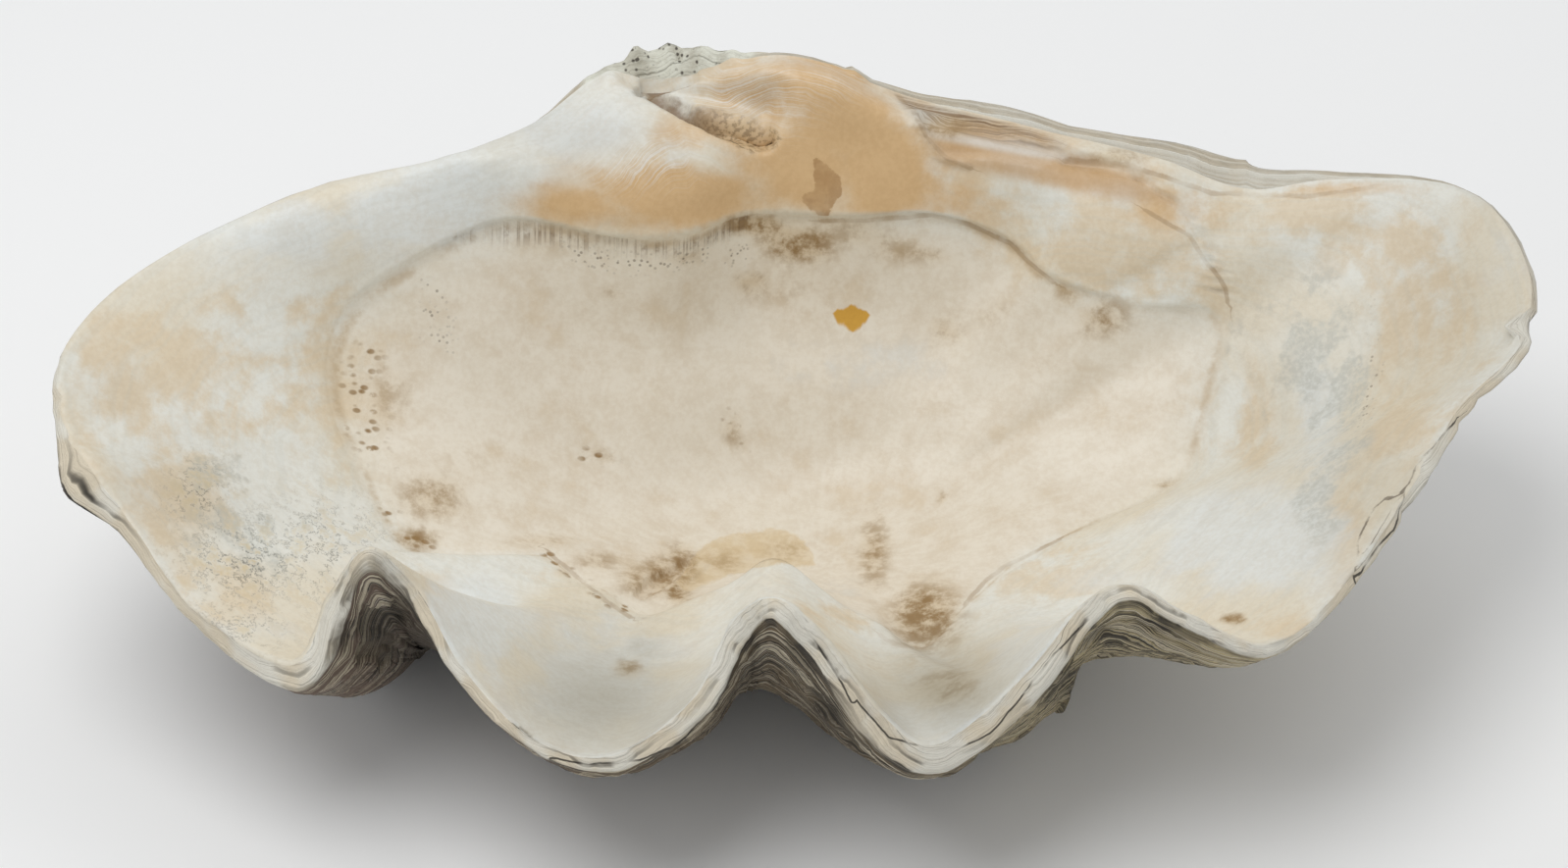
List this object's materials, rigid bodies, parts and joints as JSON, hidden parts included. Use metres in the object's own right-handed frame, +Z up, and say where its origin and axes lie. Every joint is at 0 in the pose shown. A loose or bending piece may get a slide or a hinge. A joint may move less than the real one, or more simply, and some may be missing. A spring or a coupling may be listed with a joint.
{
  "type": "giant clam shell",
  "caption": "Single valve of a giant clam shell lying hollow side up, with deep front folds, a broad smooth basin and an eroded hinge.",
  "frame": {"origin": "middle of the bounding box, at its bottom, where the valve rests", "axes": "+X along the valve's length to its right end seen from the front, +Y towards the hinge, +Z up out of the hollow"},
  "size_m": [0.7895, 0.4611, 0.2476],
  "materials": {
    "shell_ivory": "smooth porcelain-like inside, rough layered outside; aragonite, about 2700 kg/m3"
  },
  "bodies": {
    "root": {"valve": "shell_ivory"}
  },
  "joints": []
}
